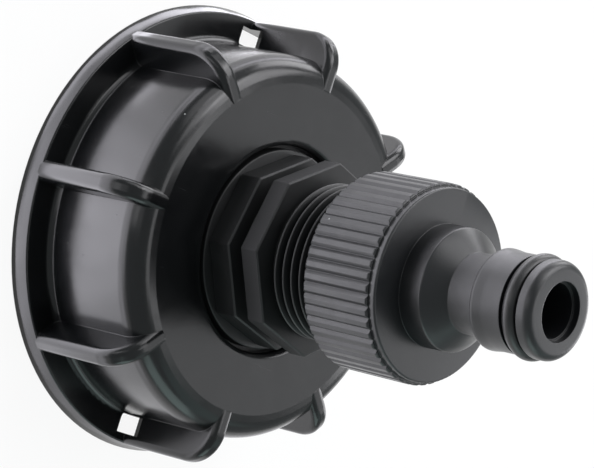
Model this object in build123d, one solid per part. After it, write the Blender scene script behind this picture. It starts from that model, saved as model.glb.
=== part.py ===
from build123d import *
from math import radians, tan
import os

os.makedirs("parts", exist_ok=True)

# Tank nut, moulded in one piece: mouth rim, shell, flat face, grip ribs and seal slots
RIM_WIDTH = 6.1
RIM_TAPER = 1.0
RIM_HEIGHT = 3.0
RIM_ROUND = 0.3
NUT_HEIGHT = 23.0
SHELL_WALL = 2.6
SHELL_DRAFT = 0.4
SHELL_ROOT_ROUND = 1.2
SHOULDER_WIDTH = 4.6
SHOULDER_DROP = 0.7
SHOULDER_ROUND = 4.0
FACE_WALL = 3.0
FACE_HOLE_ROUND = 1.2
RIB_COUNT = 8
RIB_WIDTH = 3.4
RIB_STEP_IN = 0.8
RIB_DRAFT = 0.4
RIB_CORNER_R = 6.2
RIB_PROUD = 0.1
RIB_EDGE_ROUND = 1.25
RIB_ROOTING = 1.5
SEAL_SLOT_COUNT = 2
SEAL_SLOT_WIDTH = 7.4
SEAL_SLOT_DEPTH = 3.3
SEAL_SLOT_STEP_OUT = 0.2
SEAL_SLOT_RISE = 3.0

# Coarse tank thread inside the nut: 60 mm across, 6 mm pitch, sawtooth section
COARSE_MAJOR_R = 30.3
COARSE_DEPTH = 2.4
COARSE_PITCH = 6.0
COARSE_TURNS = 2.0
COARSE_CREST_WIDTH = 1.8
COARSE_LOAD_FLANK = 5.0
COARSE_FREE_FLANK = 30.0
COARSE_ROOTING = 0.4
COARSE_START_GAP = 0.5
LEAD_IN_STEP = 0.5
LEAD_IN_LENGTH = 3.0

# Swivel outlet, moulded in one piece: inner flange, neck, two eight-sided plates and a stud
OUTLET_TURN = 10.0
OUTLET_FLANGE_PLAY = 1.3
OUTLET_FLANGE_THICKNESS = 3.5
OUTLET_FLANGE_ROUND = 0.5
FLANGE_CLEARANCE = 0.05
NECK_R = 17.1
NECK_CLEARANCE = 0.7
NECK_SET_BACK = 0.5
PLATE_SIDES = 8
PLATE_ACROSS_FLATS = 30.4
REAR_PLATE_THICKNESS = 4.55
FRONT_PLATE_THICKNESS = 3.75
PLATE_GAP = 2.65
PLATE_CORE_R = 12.4
PLATE_CORNER_ROUND = 0.5
PLATE_EDGE = 0.25
STUD_MAJOR_R = 13.2
STUD_LENGTH = 20.0
STUD_CHAMFER = 0.9
OUTLET_BORE_R = 9.5
OUTLET_BORE_CHAMFER = 0.8

# Tank gasket, a flat ring that lies on the outlet's inner flange
GASKET_WIDTH = 5.9
GASKET_EDGE_STEP = 0.2
GASKET_THICKNESS = 3.0

# Tap connector, moulded in one piece: knurled collar, round base and snap-in spigot
COLLAR_WALL = 3.15
COLLAR_OVERLAP = 9.2
COLLAR_END_WALL = 3.55
COLLAR_STEP_IN = 0.6
COLLAR_BAND = 1.2
COLLAR_EDGE_ROUND = 0.35
COLLAR_REAR_ROUND = 0.4
COLLAR_BORE_CLEARANCE = 0.15
KNURL_COUNT = 52
KNURL_DEPTH = 0.5
KNURL_GROOVE_WIDTH = 1.2
BASE_R = 10.1
BASE_HEIGHT = 4.2
BASE_FOOT_ROUND = 0.4
BASE_EDGE_ROUND = 0.4
BASE_SLOPE = 2.8
SPIGOT_NECK_R = 6.6
SPIGOT_NECK_LENGTH = 3.7
SPIGOT_NECK_ROUND = 0.8
RIDGE_R = 8.2
RIDGE_RISE = 2.0
RIDGE_LAND = 0.5
RIDGE_ROUND = 0.6
RIDGE_FALL = 1.9
BARREL_R = 7.95
BARREL_LENGTH = 3.25
SEAL_GROOVE_R = 6.0
TIP_LENGTH = 2.6
TIP_ROUND = 1.5
TIP_BORE_R = 4.8
TIP_BORE_DEPTH = 1.2
SPIGOT_BORE_R = 4.4
FUNNEL_R = 7.6
FUNNEL_LENGTH = 4.0

# Flat washer inside the collar
WASHER_THICKNESS = 2.0
WASHER_WIDTH = 4.5
WASHER_CLEARANCE = 0.25

# Ring seal in the spigot's groove
SEAL_CORD_R = 1.25
SEAL_GROOVE_CLEARANCE = 0.4

# Places that follow from the sizes above
RIB_TOP_Z = NUT_HEIGHT + RIB_PROUD
INNER_FACE_Z = NUT_HEIGHT - FACE_WALL
LEAD_IN_R = COARSE_MAJOR_R + LEAD_IN_STEP
SHELL_R = LEAD_IN_R + SHELL_WALL
SHELL_TOP_R = SHELL_R - SHELL_DRAFT
RIM_R = SHELL_R + RIM_WIDTH
FACE_HOLE_R = NECK_R + NECK_CLEARANCE
OUTLET_FLANGE_R = COARSE_MAJOR_R - COARSE_DEPTH - OUTLET_FLANGE_PLAY
FLANGE_TOP_Z = INNER_FACE_Z - FLANGE_CLEARANCE
FLANGE_REAR_Z = FLANGE_TOP_Z - OUTLET_FLANGE_THICKNESS
NECK_TOP_Z = NUT_HEIGHT - NECK_SET_BACK
GROOVE_TOP_Z = NECK_TOP_Z + REAR_PLATE_THICKNESS + PLATE_GAP
STUD_REAR_Z = GROOVE_TOP_Z + FRONT_PLATE_THICKNESS
STUD_END_Z = STUD_REAR_Z + STUD_LENGTH
WASHER_TOP_Z = STUD_END_Z + WASHER_THICKNESS
COLLAR_REAR_Z = STUD_END_Z - COLLAR_OVERLAP
COLLAR_FRONT_Z = WASHER_TOP_Z + COLLAR_END_WALL
KNURL_TOP_Z = COLLAR_FRONT_Z - COLLAR_BAND
COLLAR_BORE_R = STUD_MAJOR_R + COLLAR_BORE_CLEARANCE
COLLAR_R = COLLAR_BORE_R + COLLAR_WALL
BASE_TOP_Z = COLLAR_FRONT_Z + BASE_HEIGHT
SPIGOT_NECK_Z = BASE_TOP_Z + BASE_SLOPE
RIDGE_FOOT_Z = SPIGOT_NECK_Z + SPIGOT_NECK_LENGTH
RIDGE_Z = RIDGE_FOOT_Z + RIDGE_RISE
BARREL_Z = RIDGE_Z + RIDGE_LAND + RIDGE_FALL
SEAL_GROOVE_Z = BARREL_Z + BARREL_LENGTH
SEAL_GROOVE_WIDTH = 2 * (SEAL_CORD_R + SEAL_GROOVE_CLEARANCE)
TIP_Z = SEAL_GROOVE_Z + SEAL_GROOVE_WIDTH
SPIGOT_END_Z = TIP_Z + TIP_LENGTH


def turned(*corners):
    """A body of revolution about Z; each corner is (radius, height, rounding)."""
    points = [(r, z) for r, z, _ in corners]
    roundings = [rounding for _, _, rounding in corners]
    outline = FilletPolyline(*points, radius=roundings, close=True)
    return revolve(Plane.XZ * make_face(outline), Axis.Z)


def nut_shell():
    """Rim, shell wall, shoulder and flat face, open at the mouth and at the face hole."""
    return turned(
        (LEAD_IN_R, 0, 0),
        (RIM_R, 0, RIM_ROUND),
        (RIM_R - RIM_TAPER, RIM_HEIGHT, RIM_ROUND),
        (SHELL_R, RIM_HEIGHT, SHELL_ROOT_ROUND),
        (SHELL_TOP_R, NUT_HEIGHT - SHOULDER_DROP, SHOULDER_ROUND),
        (SHELL_TOP_R - SHOULDER_WIDTH, NUT_HEIGHT, 0),
        (FACE_HOLE_R, NUT_HEIGHT, FACE_HOLE_ROUND),
        (FACE_HOLE_R, INNER_FACE_Z, 0),
        (COARSE_MAJOR_R, INNER_FACE_Z, 0),
        (COARSE_MAJOR_R, LEAD_IN_LENGTH + LEAD_IN_STEP, 0),
        (LEAD_IN_R, LEAD_IN_LENGTH, 0),
    )


def grip_rib():
    """One upright rib on +X whose rounded crest bends over the shoulder to the face."""
    crest_r = RIM_R - RIB_STEP_IN
    start_z = RIM_HEIGHT / 2
    web_r = SHELL_R - RIB_ROOTING
    web_z = NUT_HEIGHT - RIB_ROOTING
    inner_r = SHELL_TOP_R - SHOULDER_WIDTH
    start = (crest_r, start_z)
    corner = (crest_r - RIB_DRAFT, RIB_TOP_Z)
    end = (inner_r, RIB_TOP_Z)
    crest = Plane.XZ * FilletPolyline(start, corner, end, radius=RIB_CORNER_R)
    back = Plane.XZ * Polyline(end, (inner_r, web_z), (web_r, web_z), (web_r, start_z), start)
    rib = extrude(make_face(crest + back), RIB_WIDTH / 2, both=True)
    sides = rib.edges().filter_by(lambda e: abs(abs(e.center().Y) - RIB_WIDTH / 2) < RIB_PROUD)
    rounded = sides.filter_by(lambda e: crest.distance_to(Vector(e.center().X, 0, e.center().Z)) < RIB_PROUD)
    return fillet(rounded, RIB_EDGE_ROUND)


def seal_slot():
    """The opening for a seal wire through the rim and the foot of the rib on +X."""
    height = RIM_HEIGHT + SEAL_SLOT_RISE
    slot = Box(SEAL_SLOT_DEPTH, SEAL_SLOT_WIDTH, 2 * height)
    return Pos(SHELL_R + SEAL_SLOT_STEP_OUT + SEAL_SLOT_DEPTH / 2, 0, 0) * slot


def coarse_thread():
    """The raised sawtooth helix that grips the tank's outlet."""
    half_crest = COARSE_CREST_WIDTH / 2
    reach = COARSE_DEPTH + COARSE_ROOTING
    free_side = half_crest + reach * tan(radians(COARSE_FREE_FLANK))
    load_side = half_crest + reach * tan(radians(COARSE_LOAD_FLANK))
    start_z = LEAD_IN_LENGTH + LEAD_IN_STEP + COARSE_START_GAP + free_side
    root_r = COARSE_MAJOR_R + COARSE_ROOTING
    crest_r = COARSE_MAJOR_R - COARSE_DEPTH
    section = Polyline(
        (root_r, -free_side),
        (crest_r, -half_crest),
        (crest_r, half_crest),
        (root_r, load_side),
        close=True,
    )
    helix = Helix(COARSE_PITCH, COARSE_TURNS * COARSE_PITCH, COARSE_MAJOR_R)
    ridge = sweep(Plane.XZ * make_face(section), helix, is_frenet=True)
    return Pos(0, 0, start_z) * ridge


def coupling_nut():
    """The whole nut, with its first seal slot on +Y."""
    ribs = PolarLocations(0, RIB_COUNT) * grip_rib()
    slots = PolarLocations(0, SEAL_SLOT_COUNT, start_angle=90) * seal_slot()
    return nut_shell() + ribs + coarse_thread() - slots


def eight_sided_plate(rear_z, thickness):
    """One grip plate with its edges broken and room for the waterway."""
    outline = RegularPolygon(PLATE_ACROSS_FLATS / 2, PLATE_SIDES, major_radius=False)
    plate = extrude(outline, thickness)
    plate = fillet(plate.edges().filter_by(Axis.Z), PLATE_CORNER_ROUND)
    plate = chamfer(plate.faces().filter_by(Axis.Z).edges(), PLATE_EDGE)
    return Pos(0, 0, rear_z) * plate - Cylinder(OUTLET_BORE_R, 2 * STUD_END_Z)


def outlet_insert():
    """Inner flange, neck, twin plates and stud round one straight waterway."""
    core = turned(
        (OUTLET_BORE_R + OUTLET_BORE_CHAMFER, FLANGE_REAR_Z, 0),
        (OUTLET_FLANGE_R, FLANGE_REAR_Z, OUTLET_FLANGE_ROUND),
        (OUTLET_FLANGE_R, FLANGE_TOP_Z, OUTLET_FLANGE_ROUND),
        (NECK_R, FLANGE_TOP_Z, 0),
        (NECK_R, NECK_TOP_Z, PLATE_EDGE),
        (PLATE_CORE_R, NECK_TOP_Z, 0),
        (PLATE_CORE_R, STUD_REAR_Z, 0),
        (STUD_MAJOR_R, STUD_REAR_Z, 0),
        (STUD_MAJOR_R, STUD_END_Z - STUD_CHAMFER, 0),
        (STUD_MAJOR_R - STUD_CHAMFER, STUD_END_Z, 0),
        (OUTLET_BORE_R, STUD_END_Z, 0),
        (OUTLET_BORE_R, FLANGE_REAR_Z + OUTLET_BORE_CHAMFER, 0),
    )
    rear_plate = eight_sided_plate(NECK_TOP_Z, REAR_PLATE_THICKNESS)
    front_plate = eight_sided_plate(GROOVE_TOP_Z, FRONT_PLATE_THICKNESS)
    return Rot(0, 0, OUTLET_TURN) * (core + rear_plate + front_plate)


def tank_gasket():
    """The flat ring that seals on the tank's outlet."""
    outer_r = OUTLET_FLANGE_R - GASKET_EDGE_STEP
    inner_r = outer_r - GASKET_WIDTH
    rear_z = FLANGE_REAR_Z - GASKET_THICKNESS
    return turned(
        (inner_r, rear_z, 0),
        (outer_r, rear_z, 0),
        (outer_r, FLANGE_REAR_Z, 0),
        (inner_r, FLANGE_REAR_Z, 0),
    )


def knurl_grooves():
    """Straight V grooves all round the collar, open at both of its ends."""
    mouth_r = COLLAR_R + KNURL_DEPTH
    groove = Polyline(
        (COLLAR_R - KNURL_DEPTH, 0),
        (mouth_r, KNURL_GROOVE_WIDTH),
        (mouth_r, -KNURL_GROOVE_WIDTH),
        close=True,
    )
    grooves = PolarLocations(0, KNURL_COUNT) * make_face(groove)
    return extrude(Pos(0, 0, COLLAR_REAR_Z) * Sketch(children=grooves), COLLAR_FRONT_Z - COLLAR_REAR_Z)


def tap_connector():
    """Knurled collar with a plain front band, round base and spigot, round the stepped waterway."""
    band_r = COLLAR_R - COLLAR_STEP_IN
    body = turned(
        (COLLAR_BORE_R, COLLAR_REAR_Z, 0),
        (COLLAR_R, COLLAR_REAR_Z, COLLAR_REAR_ROUND),
        (COLLAR_R, KNURL_TOP_Z, COLLAR_EDGE_ROUND),
        (band_r, KNURL_TOP_Z, 0),
        (band_r, COLLAR_FRONT_Z, COLLAR_EDGE_ROUND),
        (BASE_R, COLLAR_FRONT_Z, BASE_FOOT_ROUND),
        (BASE_R, BASE_TOP_Z, BASE_EDGE_ROUND),
        (SPIGOT_NECK_R, SPIGOT_NECK_Z, 0),
        (SPIGOT_NECK_R, RIDGE_FOOT_Z, SPIGOT_NECK_ROUND),
        (RIDGE_R, RIDGE_Z, RIDGE_ROUND),
        (RIDGE_R, RIDGE_Z + RIDGE_LAND, RIDGE_ROUND),
        (BARREL_R, BARREL_Z, 0),
        (BARREL_R, SEAL_GROOVE_Z, 0),
        (SEAL_GROOVE_R, SEAL_GROOVE_Z, 0),
        (SEAL_GROOVE_R, TIP_Z, 0),
        (BARREL_R, TIP_Z, 0),
        (BARREL_R, SPIGOT_END_Z, TIP_ROUND),
        (TIP_BORE_R, SPIGOT_END_Z, 0),
        (TIP_BORE_R, SPIGOT_END_Z - TIP_BORE_DEPTH, 0),
        (SPIGOT_BORE_R, SPIGOT_END_Z - TIP_BORE_DEPTH, 0),
        (SPIGOT_BORE_R, WASHER_TOP_Z + FUNNEL_LENGTH, 0),
        (FUNNEL_R, WASHER_TOP_Z, 0),
        (COLLAR_BORE_R, WASHER_TOP_Z, 0),
    )
    return body - knurl_grooves()


def tap_washer():
    """The flat washer between the stud's end and the collar's seat."""
    outer_r = COLLAR_BORE_R - WASHER_CLEARANCE
    inner_r = outer_r - WASHER_WIDTH
    return turned(
        (inner_r, STUD_END_Z, 0),
        (outer_r, STUD_END_Z, 0),
        (outer_r, WASHER_TOP_Z, 0),
        (inner_r, WASHER_TOP_Z, 0),
    )


def spigot_seal():
    """The ring seal that stands a little proud of the spigot."""
    middle_z = SEAL_GROOVE_Z + SEAL_GROOVE_WIDTH / 2
    return Pos(0, 0, middle_z) * Torus(SEAL_GROOVE_R + SEAL_CORD_R, SEAL_CORD_R)


PIECES = {
    "coupling_nut": coupling_nut,
    "outlet_insert": outlet_insert,
    "tank_gasket": tank_gasket,
    "tap_connector": tap_connector,
    "tap_washer": tap_washer,
    "spigot_o_ring": spigot_seal,
}

for name, make in PIECES.items():
    export_step(make(), f"parts/{name}.step")
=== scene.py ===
"""Looks of the tank outlet tap adapter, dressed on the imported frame.

The adapter is a ribbed screw nut, a swivel outlet with a fine pipe thread, and a knurled connector with a
snap-in spigot. Lengths are in metres, or in millimetres where a name says mm.
"""

import math

import bmesh
import bpy
from bpy.props import FloatProperty, FloatVectorProperty, IntProperty, PointerProperty, StringProperty
from mathutils import Matrix, Quaternion, Vector


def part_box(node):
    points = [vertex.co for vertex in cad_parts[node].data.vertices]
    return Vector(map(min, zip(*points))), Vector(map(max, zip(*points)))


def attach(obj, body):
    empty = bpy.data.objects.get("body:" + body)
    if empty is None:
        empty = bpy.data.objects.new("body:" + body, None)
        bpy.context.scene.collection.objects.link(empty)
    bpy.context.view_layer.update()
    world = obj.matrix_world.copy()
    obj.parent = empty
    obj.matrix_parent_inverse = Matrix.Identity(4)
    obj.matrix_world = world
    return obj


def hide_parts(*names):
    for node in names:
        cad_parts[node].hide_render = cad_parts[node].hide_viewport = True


bl_info = {
    "name": "Tank tap adapter",
    "version": (1, 0, 0),
    "blender": (4, 5, 0),
    "location": "View3D > Sidebar > Adapter",
    "description": "Finishes a moulded tank tap adapter and the plain stage that it stands on",
    "category": "Object",
}

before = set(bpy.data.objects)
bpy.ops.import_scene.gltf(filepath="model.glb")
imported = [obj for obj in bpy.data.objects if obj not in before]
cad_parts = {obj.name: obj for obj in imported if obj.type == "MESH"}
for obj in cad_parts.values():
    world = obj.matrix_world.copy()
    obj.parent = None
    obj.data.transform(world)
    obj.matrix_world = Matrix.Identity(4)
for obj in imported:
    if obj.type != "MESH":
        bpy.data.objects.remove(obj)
MM = 0.001
WELD = 1e-6  # points of a mesh nearer than this are one

# Patterns on the plastic and the rubber, at their real sizes
DRIFT_MM = 14  # one cloud of the slow colour drift
DRIFT_NOISE = (0.35, 0.68)  # the noise values between which it comes in
SCUFF_MM = 9  # a scuff's length
SCUFF_NOISE = (0.62, 0.70)
SCUFF_STRETCH = (1.0, 14.0, 9.0)  # how much narrower it is along each axis
SCUFF_TURN = (0.5, 0.3, 0.9)  # and how it lies, in radians
SCUFF_DULLS = 0.05  # what it adds to the roughness
SMEAR_MM = 5  # one patch of more or less gloss
GLOSS_NOISE = (0.3, 0.7)
SINK_MM = 7  # one shallow wave
SPECK_CELL_MM = 3.2  # each cell has one speck at most
SPECK_RADIUS = 0.045  # as a share of its cell
SPECK_COLOUR = "#8f918f"
PLAIN_SHEEN = 0.5  # the shader's own level
EDGE_SAMPLES = 6  # rays that look for an edge nearby
BLOOM_MM = 6  # one patch of bloom on the rubber
BLOOM_NOISE = (0.45, 0.75)

# The pipe thread's finish and its painted shade, from its roots to its crests
THREAD_START_MM = 0.2  # height over which it begins
THREAD_FINER = -0.2  # change of its roughness, as a share
PAINTED_SHADE_RADII_MM = (12.3, 13.1)
PAINTED_SHADE_SHEEN = (-0.35, 0.1)  # change of the sheen at these radii: painted shade in the roots, a faint painted highlight at the crests

# The stage
AIM = (0, 0, 0.04)  # middle of the object
WHITE = "#fdfcff"
PAD_TINT = "#f7f5ff"
PAD_HEIGHT = 0.0005
RING_HEIGHT = 0.0004
RING_RISE = 0.000002  # for each degree
FAINTEST_PAD = 0.05  # below this level a pad is left out
FLOOR_GLOW = 0.9  # how much of the floor glows where the camera or a reflection sees it
ROOM_COLOUR = "#f6fdff"
ROOM_LEVEL = 0.4  # as light on the object
ROOM_SEEN_LEVEL = 1.1  # as the camera sees it
SENSOR_MM = 36
CLIP_START = 0.01


# Colour and node helpers


def linear(code):
    """The linear colour, with alpha 1, of an sRGB hex code such as #1a1b1d."""
    parts = [int(code[i : i + 2], 16) / 255 for i in (1, 3, 5)]
    return tuple(c / 12.92 if c <= 0.04045 else ((c + 0.055) / 1.055) ** 2.4 for c in parts) + (1.0,)


def add(tree, kind, inputs=None, **settings):
    """Adds one node, with its settings, and sets or links its inputs."""
    node = tree.nodes.new(kind)
    for name, value in settings.items():
        setattr(node, name, value)
    for key, value in (inputs or {}).items():
        if isinstance(value, bpy.types.NodeSocket):
            tree.links.new(value, node.inputs[key])
        else:
            node.inputs[key].default_value = value
    return node


def new_material(name):
    """An empty node material with its output node."""
    material = bpy.data.materials.new(name)
    material.use_nodes = True
    material.node_tree.nodes.clear()
    return material, add(material.node_tree, "ShaderNodeOutputMaterial")


def per_metre(size_mm):
    """A texture's scale for features of this size."""
    return 1 / (size_mm * MM)


def moulded_plastic(
    name, base, cloud, rough, grain_mm, grain_depth_mm, wave_depth_mm, dust, edge_mm, ior, thread_foot=1.0
):
    """Injection-moulded black plastic.

    base and cloud are the darkest and lightest of its slow colour drift, rough its two roughness limits, and
    dust the share of the cells that have a speck. The mould leaves a fine grain, drawn coarser than it is so
    that it shows. Sink marks make reflections wander, handling leaves hairline scuffs that only show in the
    gloss, and every moulded edge is a little round. Above the height called thread_foot the tool was finer,
    and painted shade darkens the roots of the thread: the sheen is lowered there and raised a little at the
    crests, as a painted highlight. A piece without a thread leaves that height far above itself.
    """
    material, out = new_material(name)
    t = material.node_tree
    place = add(t, "ShaderNodeTexCoord").outputs["Object"]

    drift_look = {"Scale": per_metre(DRIFT_MM), "Detail": 3.0, "Roughness": 0.6}
    drift = add(t, "ShaderNodeTexNoise", {"Vector": place, **drift_look})
    tone = add(t, "ShaderNodeMapRange", {0: drift.outputs[0], 1: DRIFT_NOISE[0], 2: DRIFT_NOISE[1]})
    colour = add(t, "ShaderNodeMix", data_type="RGBA")
    t.links.new(tone.outputs[0], colour.inputs[0])
    colour.inputs[6].default_value = linear(base)
    colour.inputs[7].default_value = linear(cloud)

    lie = {"Rotation": SCUFF_TURN, "Scale": SCUFF_STRETCH}
    stretched = add(t, "ShaderNodeMapping", {"Vector": place, **lie}).outputs[0]
    hairs = add(t, "ShaderNodeTexNoise", {"Vector": stretched, "Scale": per_metre(SCUFF_MM), "Detail": 5.0})
    scuff_range = {0: hairs.outputs[0], 1: SCUFF_NOISE[0], 2: SCUFF_NOISE[1]}
    scuff = add(t, "ShaderNodeMapRange", scuff_range).outputs[0]

    smear_look = {"Scale": per_metre(SMEAR_MM), "Detail": 4.0, "Distortion": 0.8}
    smear = add(t, "ShaderNodeTexNoise", {"Vector": place, **smear_look})
    gloss_range = {1: GLOSS_NOISE[0], 2: GLOSS_NOISE[1], 3: rough[0], 4: rough[1]}
    gloss = add(t, "ShaderNodeMapRange", {0: smear.outputs[0], **gloss_range})

    height = add(t, "ShaderNodeSeparateXYZ", {0: place}).outputs[2]
    thread_full = thread_foot + THREAD_START_MM * MM
    threaded = add(t, "ShaderNodeMapRange", {0: height, 1: thread_foot, 2: thread_full}).outputs[0]
    finer = add(t, "ShaderNodeMath", {0: threaded, 1: THREAD_FINER, 2: 1.0}, operation="MULTIPLY_ADD")
    evened = add(t, "ShaderNodeMath", {0: gloss.outputs[0], 1: finer.outputs[0]}, operation="MULTIPLY")
    dulled = {0: scuff, 1: SCUFF_DULLS, 2: evened.outputs[0]}
    duller = add(t, "ShaderNodeMath", dulled, operation="MULTIPLY_ADD")

    # Painted shade by radius: above thread_foot the sheen drops in the thread's roots and rises a little at
    # its crests, as a painted highlight.
    across = add(t, "ShaderNodeVectorMath", {0: place, 1: (1.0, 1.0, 0.0)}, operation="MULTIPLY")
    radius = add(t, "ShaderNodeVectorMath", {0: across.outputs[0]}, operation="LENGTH").outputs["Value"]
    root, crest = (edge * MM for edge in PAINTED_SHADE_RADII_MM)
    painted_shade_look = {1: root, 2: crest, 3: PAINTED_SHADE_SHEEN[0], 4: PAINTED_SHADE_SHEEN[1]}
    painted_shade = add(t, "ShaderNodeMapRange", {0: radius, **painted_shade_look}).outputs[0]
    sheen = add(t, "ShaderNodeMath", {0: threaded, 1: painted_shade, 2: PLAIN_SHEEN}, operation="MULTIPLY_ADD")

    cells = add(t, "ShaderNodeTexVoronoi", {"Vector": place, "Scale": per_metre(SPECK_CELL_MM)})
    near = add(t, "ShaderNodeMath", {0: cells.outputs["Distance"], 1: SPECK_RADIUS}, operation="LESS_THAN")
    lot = add(t, "ShaderNodeSeparateColor", {0: cells.outputs["Color"]})
    chosen = add(t, "ShaderNodeMath", {0: lot.outputs[0], 1: dust}, operation="LESS_THAN")
    speck = add(t, "ShaderNodeMath", {0: near.outputs[0], 1: chosen.outputs[0]}, operation="MULTIPLY")
    dusty = add(t, "ShaderNodeMix", data_type="RGBA")
    t.links.new(speck.outputs[0], dusty.inputs[0])
    t.links.new(colour.outputs[2], dusty.inputs[6])
    dusty.inputs[7].default_value = linear(SPECK_COLOUR)

    rounded = add(t, "ShaderNodeBevel", {"Radius": edge_mm * MM}, samples=EDGE_SAMPLES).outputs[0]
    sink = add(t, "ShaderNodeTexNoise", {"Vector": place, "Scale": per_metre(SINK_MM), "Detail": 1.0})
    wave_look = {"Height": sink.outputs[0], "Distance": wave_depth_mm * MM, "Normal": rounded}
    wave = add(t, "ShaderNodeBump", wave_look).outputs[0]
    grain = add(t, "ShaderNodeTexNoise", {"Vector": place, "Scale": per_metre(grain_mm), "Detail": 2.0})
    fine_look = {"Height": grain.outputs[0], "Distance": grain_depth_mm * MM, "Normal": wave}
    fine = add(t, "ShaderNodeBump", fine_look)
    shader = add(
        t,
        "ShaderNodeBsdfPrincipled",
        {
            "Base Color": dusty.outputs[2],
            "Roughness": duller.outputs[0],
            "Normal": fine.outputs[0],
            "IOR": ior,
            "Specular IOR Level": sheen.outputs[0],
            "Metallic": 0.0,
        },
    )
    t.links.new(shader.outputs[0], out.inputs[0])
    return material


def moulded_rubber(name, base, bloom, rough, grain_mm, grain_depth_mm):
    """Compression-moulded nitrile rubber: near black, with a grey bloom in patches and a dull grain.

    The grain is drawn coarser than it is, so that it shows.
    """
    material, out = new_material(name)
    t = material.node_tree
    place = add(t, "ShaderNodeTexCoord").outputs["Object"]
    bloom_look = {"Scale": per_metre(BLOOM_MM), "Detail": 5.0, "Roughness": 0.65}
    patches = add(t, "ShaderNodeTexNoise", {"Vector": place, **bloom_look}).outputs[0]
    amount = add(t, "ShaderNodeMapRange", {0: patches, 1: BLOOM_NOISE[0], 2: BLOOM_NOISE[1]})
    colour = add(t, "ShaderNodeMix", data_type="RGBA")
    t.links.new(amount.outputs[0], colour.inputs[0])
    colour.inputs[6].default_value = linear(base)
    colour.inputs[7].default_value = linear(bloom)
    gloss_range = {1: GLOSS_NOISE[0], 2: GLOSS_NOISE[1], 3: rough[0], 4: rough[1]}
    gloss = add(t, "ShaderNodeMapRange", {0: patches, **gloss_range})
    grain = add(t, "ShaderNodeTexNoise", {"Vector": place, "Scale": per_metre(grain_mm), "Detail": 3.0})
    fine = add(t, "ShaderNodeBump", {"Height": grain.outputs[0], "Distance": grain_depth_mm * MM})
    shader = add(
        t,
        "ShaderNodeBsdfPrincipled",
        {
            "Base Color": colour.outputs[2],
            "Roughness": gloss.outputs[0],
            "Normal": fine.outputs[0],
            "IOR": 1.52,
            "Metallic": 0.0,
        },
    )
    t.links.new(shader.outputs[0], out.inputs[0])
    return material


def finish(node, material):
    """Puts a material on a CAD node's own slot."""
    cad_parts[node].data.materials.clear()
    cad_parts[node].data.materials.append(material)


# Sizes and colours


class PipeThreadSizes(bpy.types.PropertyGroup):
    """The outlet's three-quarter inch pipe thread."""

    crest_radius: FloatProperty(
        name="Crest radius", description="To the thread's crests", default=0.0132, unit="LENGTH"
    )
    root_radius: FloatProperty(
        name="Root radius", description="To the thread's roots", default=0.0119, unit="LENGTH"
    )
    pitch: FloatProperty(
        name="Pitch", description="From one crest to the next", default=0.001814, unit="LENGTH"
    )
    crest_width: FloatProperty(
        name="Crest width", description="Flat on each crest", default=0.0003, unit="LENGTH"
    )
    root_width: FloatProperty(
        name="Root width", description="Width of a ridge at its foot", default=0.0015, unit="LENGTH"
    )
    start: FloatProperty(name="Start", description="Height of the first ridge", default=0.0341, unit="LENGTH")
    end: FloatProperty(name="End", description="Height of the last ridge", default=0.0524, unit="LENGTH")
    steps: IntProperty(name="Steps", description="Points in each turn of the ridge", default=96, min=24)
    stud_length: FloatProperty(
        name="Stud length", description="Stud above the front plate", default=0.0201, unit="LENGTH"
    )
    # This height is also where the painted shade in the thread's roots begins.
    finish_start: FloatProperty(
        name="Finish start", description="Height where its finer finish starts", default=0.0338, unit="LENGTH"
    )


class ConnectorSizes(bpy.types.PropertyGroup):
    """Where the connector's locking ridge and its base are sharpened."""

    neck_radius: FloatProperty(
        name="Neck radius", description="Spigot's narrow neck", default=0.0066, unit="LENGTH"
    )
    catch_radius: FloatProperty(
        name="Catch radius", description="Top of the ridge", default=0.0082, unit="LENGTH"
    )
    catch_start: FloatProperty(
        name="Catch start", description="Height below its foot", default=0.0692, unit="LENGTH"
    )
    catch_top: FloatProperty(
        name="Catch top", description="Height of the ridge", default=0.0718, unit="LENGTH"
    )
    catch_shift: FloatProperty(
        name="Catch shift", description="How far its foot moves up", default=0.0015, unit="LENGTH"
    )
    base_radius: FloatProperty(
        name="Base radius", description="Round base of the spigot", default=0.0101, unit="LENGTH"
    )
    base_fillet: FloatProperty(
        name="Base fillet", description="Reach of the fillet at its foot", default=0.00042, unit="LENGTH"
    )
    face_height: FloatProperty(
        name="Face height", description="Collar's flat face", default=0.059, unit="LENGTH"
    )


class FinishColours(bpy.types.PropertyGroup):
    """The plastic and rubber colours, as sRGB hex codes."""

    cap: StringProperty(name="Cap", description="Black of the tank nut", default="#0a0b0c")
    cap_cloud: StringProperty(
        name="Cap cloud", description="Lightest drift of nut and outlet", default="#0f1011"
    )
    outlet: StringProperty(name="Outlet", description="Black of the swivel outlet", default="#0e0f10")
    connector: StringProperty(name="Connector", description="Black of the connector", default="#131416")
    connector_cloud: StringProperty(
        name="Connector cloud", description="Its lightest drift", default="#191a1c"
    )
    rubber: StringProperty(name="Rubber", description="Black of the seals", default="#101011")
    bloom: StringProperty(name="Bloom", description="Grey bloom on the rubber", default="#232324")


class StageSizes(bpy.types.PropertyGroup):
    """Camera and floor."""

    eye: FloatVectorProperty(
        name="Eye",
        description="Camera position",
        default=(-0.322822, -0.040817, 0.319388),
        subtype="TRANSLATION",
    )
    right: FloatVectorProperty(
        name="Right",
        description="Picture's right",
        default=(0.620588, 0.293046, 0.727320),
        subtype="DIRECTION",
    )
    up: FloatVectorProperty(
        name="Up",
        description="Picture's up",
        default=(-0.269467, 0.950754, -0.153147),
        subtype="DIRECTION",
    )
    lens: FloatProperty(name="Lens", description="Focal length in millimetres", default=157.76)
    floor_width: FloatProperty(
        name="Floor width", description="Side of the floor", default=4.0, unit="LENGTH"
    )
    floor_colour: StringProperty(name="Floor colour", description="Pale floor", default="#f4f4f4")


# Pieces


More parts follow.
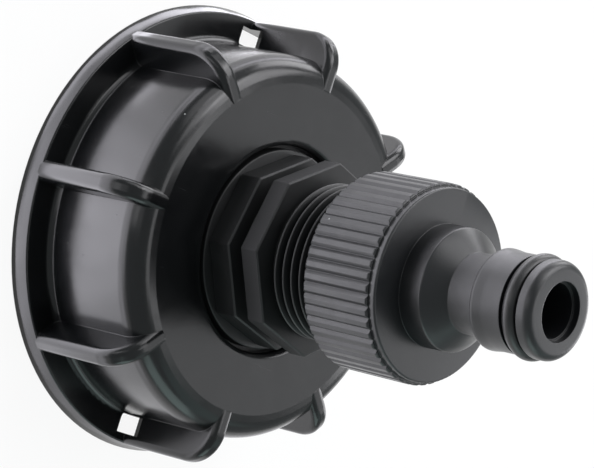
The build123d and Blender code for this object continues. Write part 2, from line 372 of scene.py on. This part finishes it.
def ridge_tree():
    """Geometry nodes for one helical thread ridge on a cylinder, thinning out at both ends."""
    fade_turns = 0.22  # each end thins out over this part of a turn
    thinnest = 0.03  # down to this share of its section
    sunk = -0.2  # the ridge's foot lies inside the cylinder, by this share of its depth
    tree = bpy.data.node_groups.new("thread_ridge", "GeometryNodeTree")
    face = tree.interface
    face.new_socket("Geometry", in_out="INPUT", socket_type="NodeSocketGeometry")
    for label in ("Root radius", "Crest radius", "Pitch", "Crest width", "Root width", "Start", "Turns"):
        face.new_socket(label, in_out="INPUT", socket_type="NodeSocketFloat")
    face.new_socket("Steps", in_out="INPUT", socket_type="NodeSocketInt")
    face.new_socket("Material", in_out="INPUT", socket_type="NodeSocketMaterial")
    face.new_socket("Geometry", in_out="OUTPUT", socket_type="NodeSocketGeometry")
    given = add(tree, "NodeGroupInput").outputs
    out = add(tree, "NodeGroupOutput")

    height = add(tree, "ShaderNodeMath", {0: given["Pitch"], 1: given["Turns"]}, operation="MULTIPLY")
    spiral = add(
        tree,
        "GeometryNodeCurveSpiral",
        {
            "Resolution": given["Steps"],
            "Rotations": given["Turns"],
            "Start Radius": given["Root radius"],
            "End Radius": given["Root radius"],
            "Height": height.outputs[0],
        },
    )
    upright = add(tree, "GeometryNodeSetCurveNormal", {"Curve": spiral.outputs[0]}, mode="Z_UP")

    along = add(tree, "GeometryNodeSplineParameter").outputs["Factor"]
    back = add(tree, "ShaderNodeMath", {0: 1.0, 1: along}, operation="SUBTRACT")
    nearest = add(tree, "ShaderNodeMath", {0: along, 1: back.outputs[0]}, operation="MINIMUM")
    turns_in = add(tree, "ShaderNodeMath", {0: nearest.outputs[0], 1: given["Turns"]}, operation="MULTIPLY")
    fade = {0: turns_in.outputs[0], 1: 0.0, 2: fade_turns, 3: thinnest, 4: 1.0}
    thinning = add(tree, "ShaderNodeMapRange", fade).outputs[0]
    tapered = add(tree, "GeometryNodeSetCurveRadius", {"Curve": upright.outputs[0], "Radius": thinning})

    reach = {0: given["Crest radius"], 1: given["Root radius"]}
    depth = add(tree, "ShaderNodeMath", reach, operation="SUBTRACT").outputs[0]
    half_crest, half_root = (
        add(tree, "ShaderNodeMath", {0: given[label], 1: 0.5}, operation="MULTIPLY").outputs[0]
        for label in ("Crest width", "Root width")
    )
    # The share of the ridge's depth, the half width and the side of each corner of its section.
    corners = (
        (sunk, half_root, -1.0),
        (1.0, half_crest, -1.0),
        (1.0, half_crest, 1.0),
        (sunk, half_root, 1.0),
    )
    points = {}
    for number, (share, half_width, side) in enumerate(corners, start=1):
        # The section's first axis points to the middle of the spiral, so outward is minus.
        x = add(tree, "ShaderNodeMath", {0: depth, 1: -share}, operation="MULTIPLY").outputs[0]
        y = add(tree, "ShaderNodeMath", {0: half_width, 1: side}, operation="MULTIPLY").outputs[0]
        points[f"Point {number}"] = add(tree, "ShaderNodeCombineXYZ", {0: x, 1: y}).outputs[0]
    section = add(tree, "GeometryNodeCurvePrimitiveQuadrilateral", points, mode="POINTS")
    softened = add(
        tree,
        "GeometryNodeFilletCurve",
        {"Curve": section.outputs[0], "Radius": half_crest, "Count": 1, "Limit Radius": True},
        mode="POLY",
    )
    ridge = add(
        tree,
        "GeometryNodeCurveToMesh",
        {"Curve": tapered.outputs[0], "Profile Curve": softened.outputs[0], "Fill Caps": True},
    )
    lift = add(tree, "ShaderNodeCombineXYZ", {2: given["Start"]}).outputs[0]
    raised = add(tree, "GeometryNodeTransform", {"Geometry": ridge.outputs[0], "Translation": lift})
    real = add(tree, "GeometryNodeRealizeInstances", {"Geometry": raised.outputs[0]})
    dress = {"Geometry": real.outputs[0], "Material": given["Material"]}
    dressed = add(tree, "GeometryNodeSetMaterial", dress)
    tree.links.new(dressed.outputs[0], out.inputs[0])
    return tree


def thread_ridge(values, material):
    """A mesh of one thread ridge, made by the geometry nodes with these named values."""
    holder = bpy.data.objects.new("thread_holder", bpy.data.meshes.new("thread_holder"))
    bpy.context.scene.collection.objects.link(holder)
    modifier = holder.modifiers.new("ridge", "NODES")
    modifier.node_group = ridge_tree()
    for item in modifier.node_group.interface.items_tree:
        if item.in_out == "INPUT" and item.name in values:
            modifier[item.identifier] = values[item.name]
        if item.in_out == "INPUT" and item.name == "Material":
            modifier[item.identifier] = material
    evaluated = holder.evaluated_get(bpy.context.evaluated_depsgraph_get())
    mesh = bpy.data.meshes.new_from_object(evaluated)
    holder.modifiers.clear()
    bpy.data.objects.remove(holder)
    return mesh


def welded_copy(node):
    """A CAD node's mesh with its triangles joined, as a bmesh, and the mesh that takes it back."""
    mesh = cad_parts[node].data.copy()
    if mesh.has_custom_normals:
        mesh.attributes.remove(mesh.attributes["custom_normal"])
    work = bmesh.new()
    work.from_mesh(mesh)
    bmesh.ops.remove_doubles(work, verts=work.verts, dist=WELD)
    return work, mesh


def outlet_body(sizes):
    """The outlet's mesh, with the stud brought down from the thread's crests to its roots."""
    slack = 0.00003
    work, mesh = welded_copy("outlet_insert")
    stud_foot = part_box("outlet_insert")[1].z - sizes.stud_length
    for vert in work.verts:
        radius = math.hypot(vert.co.x, vert.co.y)
        if vert.co.z > stud_foot and sizes.root_radius < radius < sizes.crest_radius + slack:
            vert.co.x *= sizes.root_radius / radius
            vert.co.y *= sizes.root_radius / radius
    work.to_mesh(mesh)
    work.free()
    return mesh


def connector_body(sizes):
    """The connector's mesh, with a steep catch behind the locking ridge and a sharp corner round the base."""
    neck_slack = 0.0001
    face_slack = 0.00001
    work, mesh = welded_copy("tap_connector")
    for vert in work.verts:
        radius = math.hypot(vert.co.x, vert.co.y)
        if sizes.catch_start < vert.co.z < sizes.catch_top and radius > sizes.neck_radius - neck_slack:
            share = (sizes.catch_radius - radius) / (sizes.catch_radius - sizes.neck_radius)
            vert.co.z += sizes.catch_shift * min(max(share, 0.0), 1.0)
        low = -face_slack < vert.co.z - sizes.face_height < sizes.base_fillet
        if low and 0 < radius - sizes.base_radius < sizes.base_fillet:
            vert.co.x *= sizes.base_radius / radius
            vert.co.y *= sizes.base_radius / radius
    bmesh.ops.dissolve_degenerate(work, edges=work.edges, dist=WELD)
    work.to_mesh(mesh)
    work.free()
    return mesh


def joined(name, meshes, material):
    """One object from several meshes, with sharp edges kept and the rest smooth."""
    sharp_degrees = 28
    work = bmesh.new()
    for mesh in meshes:
        work.from_mesh(mesh)
    bmesh.ops.recalc_face_normals(work, faces=work.faces)
    mesh = bpy.data.meshes.new(name)
    work.to_mesh(mesh)
    work.free()
    mesh.materials.clear()
    mesh.materials.append(material)
    for face in mesh.polygons:
        face.material_index = 0
    mesh.shade_smooth()
    mesh.set_sharp_from_angle(angle=math.radians(sharp_degrees))
    piece = bpy.data.objects.new(name, mesh)
    bpy.context.scene.collection.objects.link(piece)
    return piece


class ADAPTER_OT_coupling_nut(bpy.types.Operator):
    """Finish the ribbed tank nut in glossy moulded polypropylene"""

    bl_idname = "adapter.coupling_nut"
    bl_label = "Tank nut"

    def execute(self, context):
        colours = context.scene.adapter_colours
        # Polypropylene, moulded in a polished tool: a clear, soft-edged gloss over near black.
        material = moulded_plastic(
            "moulded_polypropylene_cap",
            colours.cap,
            colours.cap_cloud,
            rough=(0.18, 0.24),
            grain_mm=0.5,
            grain_depth_mm=0.003,
            wave_depth_mm=0.012,
            dust=0.05,
            edge_mm=0.2,
            ior=1.49,
        )
        finish("coupling_nut", material)
        return {"FINISHED"}


class ADAPTER_OT_outlet_insert(bpy.types.Operator):
    """Give the swivel outlet its fine pipe thread and its moulded finish"""

    bl_idname = "adapter.outlet_insert"
    bl_label = "Swivel outlet"

    def execute(self, context):
        colours = context.scene.adapter_colours
        sizes = context.scene.adapter_thread
        # The same polypropylene as the nut, but the tool was spark-eroded: a broad, dull sheen.
        material = moulded_plastic(
            "moulded_polypropylene_outlet",
            colours.outlet,
            colours.cap_cloud,
            rough=(0.50, 0.58),
            grain_mm=0.4,
            grain_depth_mm=0.005,
            wave_depth_mm=0.015,
            dust=0.04,
            edge_mm=0.15,
            ior=1.49,
            thread_foot=sizes.finish_start,
        )
        values = {
            "Root radius": sizes.root_radius,
            "Crest radius": sizes.crest_radius,
            "Pitch": sizes.pitch,
            "Crest width": sizes.crest_width,
            "Root width": sizes.root_width,
            "Start": sizes.start,
            "Turns": (sizes.end - sizes.start) / sizes.pitch,
            "Steps": sizes.steps,
        }
        ridge = thread_ridge(values, material)
        piece = joined("threaded_outlet", [outlet_body(sizes), ridge], material)
        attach(piece, "outlet")
        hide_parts("outlet_insert")
        return {"FINISHED"}


class ADAPTER_OT_tap_connector(bpy.types.Operator):
    """Finish the knurled collar and spigot in fine-blasted moulded plastic"""

    bl_idname = "adapter.tap_connector"
    bl_label = "Tap connector"

    def execute(self, context):
        colours = context.scene.adapter_colours
        # ABS, moulded in a fine-blasted tool: dark grey-black, less glossy than the nut.
        material = moulded_plastic(
            "moulded_abs_connector",
            colours.connector,
            colours.connector_cloud,
            rough=(0.30, 0.38),
            grain_mm=0.35,
            grain_depth_mm=0.008,
            wave_depth_mm=0.02,
            dust=0.05,
            edge_mm=0.2,
            ior=1.52,
        )
        piece = joined("knurled_connector", [connector_body(context.scene.adapter_connector)], material)
        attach(piece, "connector")
        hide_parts("tap_connector")
        return {"FINISHED"}


class ADAPTER_OT_rubber_seals(bpy.types.Operator):
    """Finish the tank gasket, the tap washer and the spigot's ring seal in rubber"""

    bl_idname = "adapter.rubber_seals"
    bl_label = "Rubber seals"

    def execute(self, context):
        colours = context.scene.adapter_colours
        # Sheet-cut nitrile rubber, dull and faintly grey.
        flat = moulded_rubber(
            "nitrile_rubber_flat",
            colours.rubber,
            colours.bloom,
            rough=(0.6, 0.75),
            grain_mm=0.3,
            grain_depth_mm=0.01,
        )
        # A moulded ring with a trace of grease, so it shines more than the flat seals.
        ring = moulded_rubber(
            "nitrile_rubber_ring",
            colours.rubber,
            colours.bloom,
            rough=(0.3, 0.42),
            grain_mm=0.25,
            grain_depth_mm=0.003,
        )
        finish("tank_gasket", flat)
        finish("tap_washer", flat)
        finish("spigot_o_ring", ring)
        return {"FINISHED"}


# Stage


def floor_material(colour):
    """A pale matt floor that looks white from above and still takes a soft shadow."""
    material, out = new_material("pale_floor")
    t = material.node_tree
    matt = add(t, "ShaderNodeBsdfDiffuse", {"Color": linear(colour)})
    glow = add(t, "ShaderNodeEmission", {"Color": (1, 1, 1, 1), "Strength": 1.0})
    path = add(t, "ShaderNodeLightPath").outputs
    rays = {0: path["Is Camera Ray"], 1: path["Is Glossy Ray"]}
    seen = add(t, "ShaderNodeMath", rays, operation="MAXIMUM").outputs[0]
    seen = add(t, "ShaderNodeMath", {0: seen, 1: path["Is Transmission Ray"]}, operation="MAXIMUM").outputs[0]
    share = add(t, "ShaderNodeMath", {0: seen, 1: FLOOR_GLOW}, operation="MULTIPLY").outputs[0]
    both = add(t, "ShaderNodeMixShader", {0: share, 1: matt.outputs[0], 2: glow.outputs[0]})
    t.links.new(both.outputs[0], out.inputs[0])
    return material


def room():
    """A plain pale grey room, which only the camera sees as white."""
    world = bpy.data.worlds.new("studio")
    world.use_nodes = True
    t = world.node_tree
    background = t.nodes["Background"].inputs
    background["Color"].default_value = linear(ROOM_COLOUR)
    direct = add(t, "ShaderNodeLightPath").outputs["Is Camera Ray"]
    level = add(t, "ShaderNodeMapRange", {0: direct, 3: ROOM_LEVEL, 4: ROOM_SEEN_LEVEL})
    t.links.new(level.outputs[0], background["Strength"])
    return world


def fade_sideways(light):
    """Fades a panel to nothing at both ends of its second side, so that panels half over each other blend."""
    light.use_nodes = True
    t = light.node_tree
    spot = add(t, "ShaderNodeNewGeometry").outputs["Parametric"]
    side = add(t, "ShaderNodeSeparateXYZ", {0: spot}).outputs[1]
    angle = add(t, "ShaderNodeMath", {0: side, 1: 2 * math.pi}, operation="MULTIPLY").outputs[0]
    wave = add(t, "ShaderNodeMath", {0: angle}, operation="COSINE").outputs[0]
    share = add(t, "ShaderNodeMath", {0: 1.0, 1: wave}, operation="SUBTRACT").outputs[0]
    t.links.new(share, t.nodes["Emission"].inputs["Strength"])


def soft_light(name, level, size, place, facing, turn, tint, faded=False):
    """A soft panel of this radiance level, facing along a direction and turned about it."""
    light = bpy.data.lights.new(name, "AREA")
    light.shape = "RECTANGLE"
    light.size, light.size_y = size
    light.energy = level * math.pi * size[0] * size[1]
    light.color = linear(tint)[:3]
    if faded:
        fade_sideways(light)
    lamp = bpy.data.objects.new(name, light)
    lamp.location = place
    lamp.rotation_euler = (Vector(facing).to_track_quat("-Z", "Y") @ Quaternion((0, 0, 1), turn)).to_euler()
    lamp.visible_camera = False
    bpy.context.scene.collection.objects.link(lamp)


def floor_pad(name, level, radius, degrees, size, height=PAD_HEIGHT, faded=False):
    """A light pad on the floor at this radius and bearing, facing up, its first side along the radius."""
    turn = math.radians(degrees)
    place = (radius * math.cos(turn), radius * math.sin(turn), height)
    soft_light(name, level, size, place, (0, 0, 1), -turn, PAD_TINT, faded)


def ring_pads(name, radius, size, step, base, gain, bearing, power):
    """A ring of floor pads, each half over the next, whose level is base, and base plus gain at one bearing.

    No two of a ring lie at one height, so a reflection sees the lower one through the upper one.
    """
    for degrees in range(0, 360, step):
        share = max(0.0, math.cos(math.radians(degrees - bearing))) ** power
        level = base + gain * share
        if level > FAINTEST_PAD:
            height = RING_HEIGHT + RING_RISE * degrees
            floor_pad(f"{name}_{degrees}", level / 2, radius, degrees, size, height, faded=True)


# Name, radius, size, step in degrees, base level, gain, its bearing and its power for each ring of floor
# pads. Each pad is about two steps wide.
RINGS = (
    ("rim_pad", 0.0406, (0.002, 0.0215), 15, 0.0, 5.0, 125, 2.5),
    ("near_pad", 0.0506, (0.022, 0.027), 15, 0.4, 4.4, 190, 4.5),
    ("mid_pad", 0.0825, (0.042, 0.088), 30, 0.3, 2.4, 175, 0.7),
)

# Name, level, radius, bearing in degrees and size of each single floor pad.
PADS = (
    ("far_pad", 2.8, 0.137, 180, (0.066, 0.20)),
    ("rear_pad", 0.6, 0.22, 180, (0.10, 0.36)),
    ("top_pad", 4.0, 0.165, 95, (0.12, 0.26)),
)

# Name, size, place, radiance level and tint of each panel of the soft light above the floor.
PANELS = (
    ("high", (0.30, 0.30), (0.37, 0.05, 0.40), 0.9, WHITE),
    ("high_top", (0.28, 0.30), (0.20, 0.33, 0.42), 4.2, WHITE),
    ("high_low", (0.28, 0.30), (0.33, -0.28, 0.40), 0.4, "#c4eeea"),
    ("zenith_right", (0.26, 0.26), (0.20, 0.03, 0.56), 2.0, WHITE),
    ("right_low", (0.20, 0.40), (0.58, 0.06, 0.14), 3.2, WHITE),
    ("top_light", (0.30, 0.20), (0.25, 0.49, 0.12), 4.8, WHITE),
    ("top_left", (0.30, 0.26), (-0.16, 0.48, 0.30), 1.4, WHITE),
    ("top_high", (0.28, 0.28), (0.0, 0.36, 0.46), 2.6, WHITE),
    ("low_top", (0.26, 0.10), (0.00, 0.50, 0.02), 2.5, WHITE),
    ("bottom", (0.40, 0.26), (0.10, -0.50, 0.20), 1.7, "#dcf8f4"),
    ("left_low", (0.16, 0.40), (-0.50, 0.0, 0.06), 1.0, WHITE),
    ("left_high", (0.20, 0.40), (-0.52, 0.0, 0.30), 0.5, WHITE),
)


class ADAPTER_OT_stage(bpy.types.Operator):
    """Set the pale floor, the soft studio light and the camera"""

    bl_idname = "adapter.stage"
    bl_label = "Stage"

    def execute(self, context):
        scene = context.scene
        sizes = scene.adapter_stage
        half = sizes.floor_width / 2
        corners = [(-half, -half, 0), (half, -half, 0), (half, half, 0), (-half, half, 0)]
        mesh = bpy.data.meshes.new("floor")
        mesh.from_pydata(corners, [], [(0, 1, 2, 3)])
        mesh.materials.append(floor_material(sizes.floor_colour))
        floor = bpy.data.objects.new("floor", mesh)
        scene.collection.objects.link(floor)
        scene.world = room()

        # Pads lying on the floor stand for the lit table under the object. They light every side from below,
        # and the side that faces the camera most.
        for ring in RINGS:
            ring_pads(*ring)
        for pad in PADS:
            floor_pad(*pad)
        for name, size, place, level, tint in PANELS:
            soft_light(name, level, size, place, Vector(AIM) - Vector(place), 0.0, tint)

        camera = bpy.data.objects.new("camera", bpy.data.cameras.new("camera"))
        right, up = Vector(sizes.right).normalized(), Vector(sizes.up).normalized()
        back = right.cross(up)
        facing = Matrix((right, up, back)).transposed().to_4x4()
        camera.matrix_world = Matrix.Translation(sizes.eye) @ facing
        camera.data.lens = sizes.lens
        camera.data.sensor_width = SENSOR_MM
        camera.data.clip_start = CLIP_START
        scene.collection.objects.link(camera)
        scene.camera = camera
        scene.view_settings.view_transform = "Standard"
        return {"FINISHED"}


class ADAPTER_PT_panel(bpy.types.Panel):
    """Sizes, colours and steps of the tap adapter"""

    bl_idname = "ADAPTER_PT_panel"
    bl_label = "Tank tap adapter"
    bl_space_type = "VIEW_3D"
    bl_region_type = "UI"
    bl_category = "Adapter"

    def draw(self, context):
        layout = self.layout
        for group in (getattr(context.scene, name) for name in GROUPS):
            box = layout.box()
            for name in group.__annotations__:
                box.prop(group, name)
        for step in STEPS:
            layout.operator(step.bl_idname)


GROUPS = {
    "adapter_thread": PipeThreadSizes,
    "adapter_connector": ConnectorSizes,
    "adapter_colours": FinishColours,
    "adapter_stage": StageSizes,
}
STEPS = (
    ADAPTER_OT_coupling_nut,
    ADAPTER_OT_outlet_insert,
    ADAPTER_OT_tap_connector,
    ADAPTER_OT_rubber_seals,
    ADAPTER_OT_stage,
)


def register():
    for cls in (*GROUPS.values(), *STEPS, ADAPTER_PT_panel):
        bpy.utils.register_class(cls)
    for name, group in GROUPS.items():
        setattr(bpy.types.Scene, name, PointerProperty(type=group))


def unregister():
    for name in GROUPS:
        delattr(bpy.types.Scene, name)
    for cls in (ADAPTER_PT_panel, *reversed(STEPS), *GROUPS.values()):
        bpy.utils.unregister_class(cls)


def main():
    register()
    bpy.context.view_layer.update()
    bpy.ops.adapter.coupling_nut()
    bpy.ops.adapter.outlet_insert()
    bpy.ops.adapter.tap_connector()
    bpy.ops.adapter.rubber_seals()
    bpy.ops.adapter.stage()


if __name__ == "__main__":
    main()
